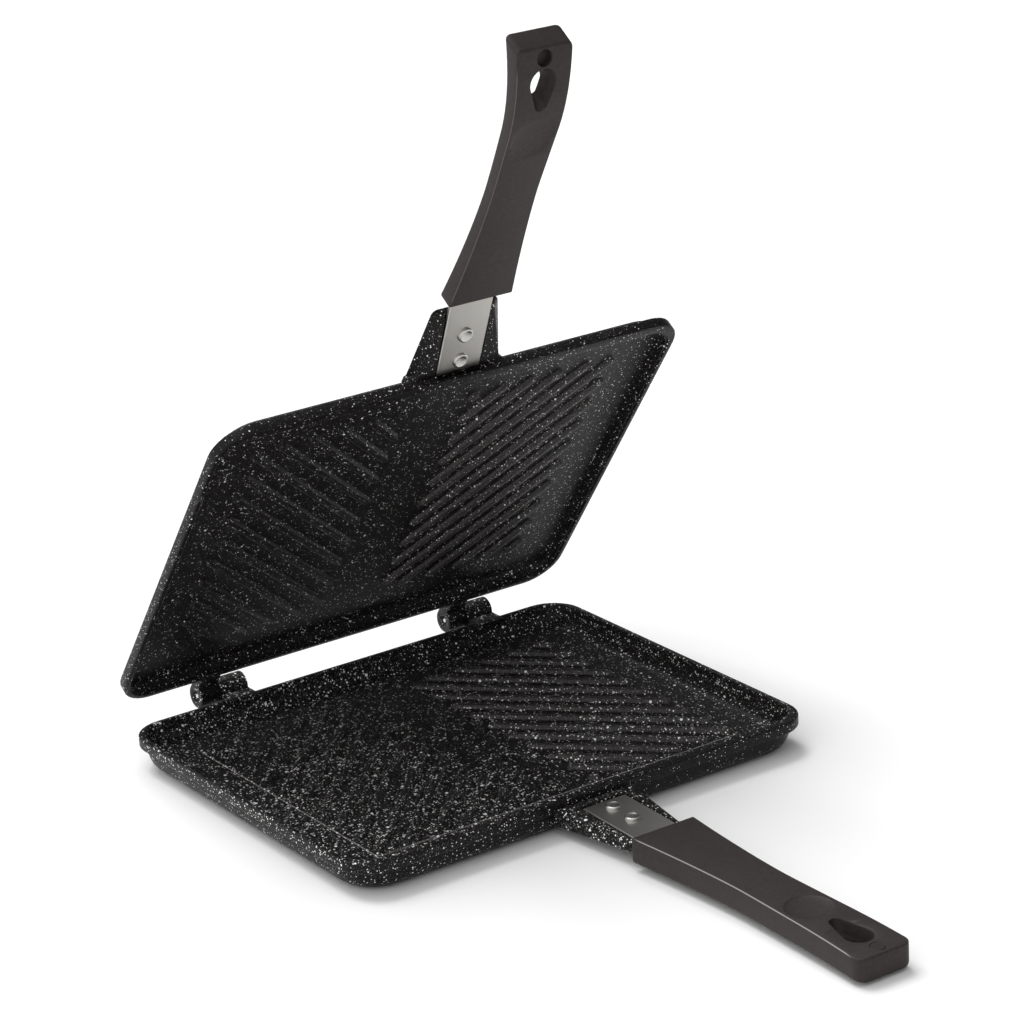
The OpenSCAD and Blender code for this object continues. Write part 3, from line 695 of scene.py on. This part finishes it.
def dish_cutter(grip):
    """Shallow thumb dish, steeper towards its edge."""
    depth = grip["dish"]
    profile = [(0.05, -depth)]
    for i in range(1, 17):
        share = math.sin(math.pi / 2 * i / 16)
        profile.append((DISH_R * share, -depth * (1 - share ** 2.4) ** 0.7))
    profile += [(DISH_R + 0.5, 0.15), (DISH_R + 0.5, 2.0)]
    bm = bmesh.new()
    lathe(bm, profile, 72, on_face(grip, grip["l"] - grip["dish_at"]))
    return bm


def recess_cutter(grip, radius):
    """Round recess near the free end, with a broken edge."""
    bm = bmesh.new()
    lathe(bm, [(0.05, -PLUG_DEPTH), (radius, -PLUG_DEPTH), (radius, -0.35),
               (radius + 0.35, 0.0), (radius + 2.35, 2.0)], 40,
          on_face(grip, grip["l"] - grip["plug_at"]))
    return bm


def plug_mesh(grip):
    """Flush round plug."""
    bm = bmesh.new()
    r = grip["plug_r"]
    lathe(bm, [(0.05, -PLUG_DEPTH), (r - 0.05, -PLUG_DEPTH), (r - 0.05, -0.25),
               (r - 0.3, -0.03), (0.05, -0.02)], 40, on_face(grip, grip["l"] - grip["plug_at"]))
    return bm


# ---- Materials ----

class Nodes:
    """Short hand for building a node tree."""

    def __init__(self, name):
        self.material = bpy.data.materials.new(name)
        self.material.use_nodes = True
        self.tree = self.material.node_tree
        self.shader = self.tree.nodes["Principled BSDF"]
        coordinates = self.tree.nodes.new("ShaderNodeTexCoord")
        scale = self.add("ShaderNodeVectorMath", operation="SCALE")
        scale.inputs["Scale"].default_value = 1 / MM
        self.link(coordinates.outputs["Object"], scale.inputs[0])
        self.mm = scale.outputs[0]       # place on the object, in millimetres

    def add(self, kind, **settings):
        node = self.tree.nodes.new(kind)
        for key, value in settings.items():
            setattr(node, key, value)
        return node

    def link(self, a, b):
        self.tree.links.new(a, b)

    def math(self, operation, a, b=None, c=None):
        node = self.add("ShaderNodeMath", operation=operation)
        for i, value in enumerate((a, b, c)):
            if value is None:
                continue
            if isinstance(value, (int, float)):
                node.inputs[i].default_value = value
            else:
                self.link(value, node.inputs[i])
        return node.outputs[0]

    def noise(self, scale, detail=2.0, roughness=0.5, vector=None):
        node = self.add("ShaderNodeTexNoise")
        node.inputs["Scale"].default_value = scale
        node.inputs["Detail"].default_value = detail
        node.inputs["Roughness"].default_value = roughness
        self.link(vector or self.mm, node.inputs["Vector"])
        return node.outputs["Fac"]

    def ramp(self, factor, *stops):
        node = self.add("ShaderNodeValToRGB")
        elements = node.color_ramp.elements
        while len(elements) < len(stops):
            elements.new(0.5)
        for element, (position, colour) in zip(elements, stops):
            element.position = position
            element.color = (*colour, 1.0) if len(colour) == 3 else colour
        self.link(factor, node.inputs[0])
        return node.outputs[0]

    def smooth(self, value, low, high):
        node = self.add("ShaderNodeMapRange", interpolation_type="SMOOTHSTEP")
        node.inputs["From Min"].default_value = low
        node.inputs["From Max"].default_value = high
        self.link(value, node.inputs["Value"])
        return node.outputs[0]

    def bump(self, height, strength, distance):
        node = self.add("ShaderNodeBump")
        node.inputs["Strength"].default_value = strength
        node.inputs["Distance"].default_value = distance
        self.link(height, node.inputs["Height"])
        self.link(node.outputs[0], self.shader.inputs["Normal"])


# Kinds of fleck: how many to a millimetre, the biggest radius in cells, how strongly small
# ones prevail, and how soft their edges are
LARGE_FLECKS = (0.34, 0.22, 3.0, 0.03)
MEDIUM_FLECKS = (0.84, 0.31, 1.3, 0.04)
SMALL_FLECKS = (1.3, 0.40, 0.6, 0.10)


def flecks(n, size, per_mm, biggest, power, soft):
    """Mask of specks: one to a cell, their sizes and brightness drawn at random."""
    cells = n.add("ShaderNodeTexVoronoi")
    cells.inputs["Scale"].default_value = per_mm
    cells.inputs["Randomness"].default_value = 1.0
    n.link(n.mm, cells.inputs["Vector"])
    split = n.add("ShaderNodeSeparateColor")
    n.link(cells.outputs["Color"], split.inputs[0])
    radius = n.math("MULTIPLY", n.math("POWER", split.outputs[0], power), biggest)
    radius = n.math("MULTIPLY", radius, size)
    edge = n.math("SUBTRACT", radius, cells.outputs["Distance"])
    mask = n.smooth(edge, -soft, soft)
    return n.math("MULTIPLY", mask, split.outputs[1])


def coating(name, fleck_size, painted_left_light):
    """Near-black non-stick coating with flecks, which may grow leftwards as painted light."""
    n = Nodes(name)
    highlight_and_plain_fac = n.add("ShaderNodeAttribute", attribute_name="highlight_and_plain").outputs["Fac"]
    place = n.add("ShaderNodeSeparateXYZ")
    n.link(n.mm, place.inputs[0])
    # Painted light: flecks grow towards the left half, which gets more light
    left_light_share = n.math("SUBTRACT", 1.0, n.smooth(place.outputs["X"], -70.0, 60.0))
    size = n.math("MULTIPLY_ADD", left_light_share, painted_left_light, fleck_size)
    # Below zero, the highlight layer says how plain the coating is: its flecks shrink there
    size = n.math("MULTIPLY_ADD", n.math("MINIMUM", highlight_and_plain_fac, 0.0), 0.55, size)
    large = flecks(n, size, *LARGE_FLECKS)
    medium = flecks(n, size, *MEDIUM_FLECKS)
    small = flecks(n, size, *SMALL_FLECKS)
    bright = n.math("MAXIMUM", n.smooth(large, 0.02, 0.3), n.smooth(medium, 0.05, 0.34))
    bright = n.math("MAXIMUM", bright, n.math("MULTIPLY", small, 0.15))
    grain = n.noise(1.8, 3.0, 0.7)
    # Painted highlight: where the layer is strong, as on the panel's edge, grain breaks it into
    # light dashes
    painted_glints = n.smooth(n.math("MULTIPLY", highlight_and_plain_fac, grain), 0.85, 1.4)
    bright = n.math("MAXIMUM", bright, n.math("MULTIPLY", painted_glints, 0.5))
    base = n.ramp(grain, (0.35, (0.0020, 0.0016, 0.0017)), (0.68, (0.0092, 0.0076, 0.0078)))
    # Painted highlight: the base turns lighter where the layer is above zero, on rib flanks and
    # the panel's edge
    painted_highlight = n.add("ShaderNodeMix", data_type="RGBA")
    n.link(n.math("MULTIPLY", highlight_and_plain_fac, n.smooth(grain, 0.2, 0.7)), painted_highlight.inputs["Factor"])
    n.link(base, painted_highlight.inputs["A"])
    painted_highlight.inputs["B"].default_value = (0.068, 0.062, 0.062, 1.0)
    mix = n.add("ShaderNodeMix", data_type="RGBA")
    n.link(bright, mix.inputs["Factor"])
    n.link(painted_highlight.outputs["Result"], mix.inputs["A"])
    mix.inputs["B"].default_value = (0.92, 0.92, 0.91, 1.0)
    n.link(mix.outputs["Result"], n.shader.inputs["Base Color"])
    rough = n.smooth(grain, 0.2, 0.8)
    n.link(n.math("MULTIPLY_ADD", rough, 0.14, 0.34), n.shader.inputs["Roughness"])
    n.shader.inputs["Specular IOR Level"].default_value = 0.15
    n.bump(n.math("ADD", n.noise(1.2, 2.0, 0.5), n.math("MULTIPLY", bright, 0.3)), 0.25, 0.0003)
    return n.material


def steel(name, colour, roughness, grain_along_y):
    """Satin steel with fine lines along the strip."""
    n = Nodes(name)
    stretch = n.add("ShaderNodeVectorMath", operation="MULTIPLY")
    stretch.inputs[1].default_value = (1.0, 0.03, 0.03) if grain_along_y else (1.0, 1.0, 1.0)
    n.link(n.mm, stretch.inputs[0])
    lines = n.noise(5.0, 3.0, 0.6, stretch.outputs[0])
    cloud = n.noise(0.08, 2.0, 0.5)
    tint = n.math("MULTIPLY_ADD", cloud, 0.12, 0.94)
    shade = n.add("ShaderNodeVectorMath", operation="SCALE")
    shade.inputs[0].default_value = colour
    n.link(tint, shade.inputs["Scale"])
    n.link(shade.outputs[0], n.shader.inputs["Base Color"])
    n.shader.inputs["Metallic"].default_value = 1.0
    n.link(n.math("MULTIPLY_ADD", lines, 0.18, roughness - 0.09), n.shader.inputs["Roughness"])
    n.bump(lines, 0.12, 0.0001)
    return n.material


def moulding(name, colour, roughness):
    """Dark phenolic moulding: faint flow marks, a satin texture and a painted highlight line."""
    n = Nodes(name)
    cloud = n.noise(0.05, 3.0, 0.6)
    speck = n.noise(0.55, 4.0, 0.75)
    tint = n.math("MULTIPLY_ADD", cloud, 0.3, 0.85)
    tint = n.math("MULTIPLY", tint, n.math("MULTIPLY_ADD", speck, 1.0, 0.5))
    shade = n.add("ShaderNodeVectorMath", operation="SCALE")
    shade.inputs[0].default_value = colour
    n.link(tint, shade.inputs["Scale"])
    grain = n.noise(1.1, 3.0, 0.65)
    # Painted highlight: a light line where the layer marks the edges of the grip's face
    highlight_and_plain_fac = n.add("ShaderNodeAttribute", attribute_name="highlight_and_plain").outputs["Fac"]
    line = n.add("ShaderNodeMix", data_type="RGBA")
    n.link(highlight_and_plain_fac, line.inputs["Factor"])
    n.link(shade.outputs[0], line.inputs["A"])
    line.inputs["B"].default_value = (0.30, 0.285, 0.28, 1.0)
    n.link(line.outputs["Result"], n.shader.inputs["Base Color"])
    n.link(n.math("MULTIPLY_ADD", grain, 0.12, roughness - 0.06), n.shader.inputs["Roughness"])
    n.shader.inputs["Specular IOR Level"].default_value = 0.18
    n.bump(grain, 0.3, 0.0003)
    return n.material


# ---- Pieces ----

def show(obj, material, body, slot, *nodes):
    """Gives a piece its material and body, and hides the CAD nodes that it stands for; slot is not
    used.
    """
    obj.data.materials.append(material)
    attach(obj, body)
    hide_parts(*nodes)


# Painted light: one coating in two copies, bigger flecks on the lit lower pan, smaller on the lid,
# which faces down into shade
lower_coat = coating("speckled_coating_lower_painted_lit", 1.10, 0.30)
lid_coat = coating("speckled_coating_lid_painted_shaded", 0.88, 0.0)
strip_steel = steel("strip_steel", (0.52, 0.505, 0.475), 0.32, True)
rivet_steel = steel("rivet_steel", (0.52, 0.51, 0.485), 0.28, False)
pin_steel = steel("pin_steel", (0.70, 0.70, 0.69), 0.28, False)
grip_black = moulding("grip_moulding", (0.0345, 0.0275, 0.0272), 0.50)
plug_black = moulding("plug_moulding", (0.027, 0.0232, 0.0230), 0.44)

show(build_pan("lower_pan_casting", LOWER, LOWER_STRIP, LOWER_LUG, LOWER_PLACE, "base"),
     lower_coat, "base", "coating", "lower_pan")
show(build_pan("lid_pan_casting", LID, LID_STRIP, LID_LUG, LID_PLACE, "lid"),
     lid_coat, "lid", "coating", "lid_pan")

for half, strip, grip, place, body in (
    ("lower", LOWER_STRIP, LOWER_GRIP, LOWER_PLACE, "base"),
    ("lid", LID_STRIP, LID_GRIP, LID_PLACE, "lid"),
):
    show(finish_mesh(strip_mesh(strip, grip), place, f"{half}_steel_strip"),
         strip_steel, body, "strip_steel", f"{half}_strip")
    show(finish_mesh(rivet_mesh(strip), place, f"{half}_strip_rivets"),
         rivet_steel, body, "rivet_steel", f"{half}_rivets")
    carved = cut(grip_body(grip), hole_cutter(grip), dish_cutter(grip),
                 recess_cutter(grip, grip["plug_r"]))
    mark_highlight_line(carved, grip)
    show(finish_mesh(carved, place, f"{half}_moulded_grip"),
         grip_black, body, "grip_moulding", f"{half}_grip")

show(finish_mesh(plug_mesh(LOWER_GRIP), LOWER_PLACE, "lower_round_plug"),
     plug_black, "base", "plug_moulding", "lower_grip_plug")

for side, x in HINGE_X.items():
    show(finish_mesh(pin_mesh(x), Matrix.Identity(4), f"{side}_pin"),
         pin_steel, "base", "pin_steel", f"{side}_hinge_pin")


# ---- Floor, light and camera ----

def add_floor():
    """Large pale floor that fills the picture."""
    mesh = bpy.data.meshes.new("floor")
    half, drop = 14.0, 0.0003
    mesh.from_pydata([(-half, -half, 0), (half, -half, 0), (half, half, 0), (-half, half, 0)],
                     [], [(0, 1, 2, 3)])
    floor = bpy.data.objects.new("floor", mesh)
    bpy.context.scene.collection.objects.link(floor)
    floor.location.z = -drop
    material = bpy.data.materials.new("pale_floor")
    material.use_nodes = True
    shader = material.node_tree.nodes["Principled BSDF"]
    shader.inputs["Base Color"].default_value = (0.94, 0.94, 0.94, 1.0)
    shader.inputs["Roughness"].default_value = 0.9
    shader.inputs["Specular IOR Level"].default_value = 0.1
    mesh.materials.append(material)


def add_sun(name, towards, spread, strength):
    """Distant soft light: the direction towards it, and its width across in degrees."""
    light = bpy.data.lights.new(name, "SUN")
    light.angle = math.radians(spread)
    light.energy = strength
    lamp = bpy.data.objects.new(name, light)
    bpy.context.scene.collection.objects.link(lamp)
    lamp.rotation_euler = Vector(towards).to_track_quat("Z", "Y").to_euler()


def add_world(low, high, towards):
    """White surroundings, from dim to bright towards one direction."""
    world = bpy.data.worlds.new("surroundings")
    world.use_nodes = True
    tree = world.node_tree
    coordinates = tree.nodes.new("ShaderNodeTexCoord")
    side = tree.nodes.new("ShaderNodeVectorMath")
    side.operation = "DOT_PRODUCT"
    side.inputs[1].default_value = Vector(towards).normalized()
    tree.links.new(coordinates.outputs["Generated"], side.inputs[0])
    level = tree.nodes.new("ShaderNodeMapRange")
    level.interpolation_type = "SMOOTHSTEP"
    level.inputs["From Min"].default_value = -0.2
    level.inputs["From Max"].default_value = 1.0
    level.inputs["To Min"].default_value = low
    level.inputs["To Max"].default_value = high
    tree.links.new(side.outputs["Value"], level.inputs["Value"])
    background = tree.nodes["Background"]
    background.inputs["Color"].default_value = (1.0, 1.0, 1.0, 1.0)
    tree.links.new(level.outputs[0], background.inputs["Strength"])
    bpy.context.scene.world = world


CAMERA = {
    "azimuth": -34.153, "elevation": 20.0002, "roll": -3.1057,
    "focal_px": 3690.78, "frame_px": 1024, "sensor_mm": 36.0,
    # Distance along the view, and the aim's offsets across it, in pan widths
    "distance": 6.838, "across": 0.0836, "up": 0.3903,
}


def add_camera():
    """Camera at the photograph's angle, with the same perspective."""
    a, e, r = (math.radians(CAMERA[k]) for k in ("azimuth", "elevation", "roll"))
    back = Vector((math.sin(a) * math.cos(e), -math.cos(a) * math.cos(e), math.sin(e)))
    level = Vector((math.cos(a), math.sin(a), 0.0))
    upright = back.cross(level)
    right = math.cos(r) * level + math.sin(r) * upright
    up = -math.sin(r) * level + math.cos(r) * upright
    place = (right * CAMERA["across"] + up * CAMERA["up"] + back * CAMERA["distance"]) * PAN_W
    place += Vector((0, 0, LOWER["h"]))
    data = bpy.data.cameras.new("camera")
    data.sensor_width = CAMERA["sensor_mm"]
    data.lens = CAMERA["focal_px"] / CAMERA["frame_px"] * CAMERA["sensor_mm"]
    data.clip_start, data.clip_end = 0.05, 60.0
    camera = bpy.data.objects.new("camera", data)
    bpy.context.scene.collection.objects.link(camera)
    rows = Matrix((right, up, back)).transposed().to_4x4()
    camera.matrix_world = Matrix.Translation(place * MM) @ rows
    bpy.context.scene.camera = camera


add_floor()
add_world(0.12, 1.12, (-0.74, -0.04, 0.67))
add_sun("overhead_soft", (-0.04, 0.50, 0.86), 36, 1.95)
add_camera()
bpy.context.scene.view_settings.view_transform = "Standard"
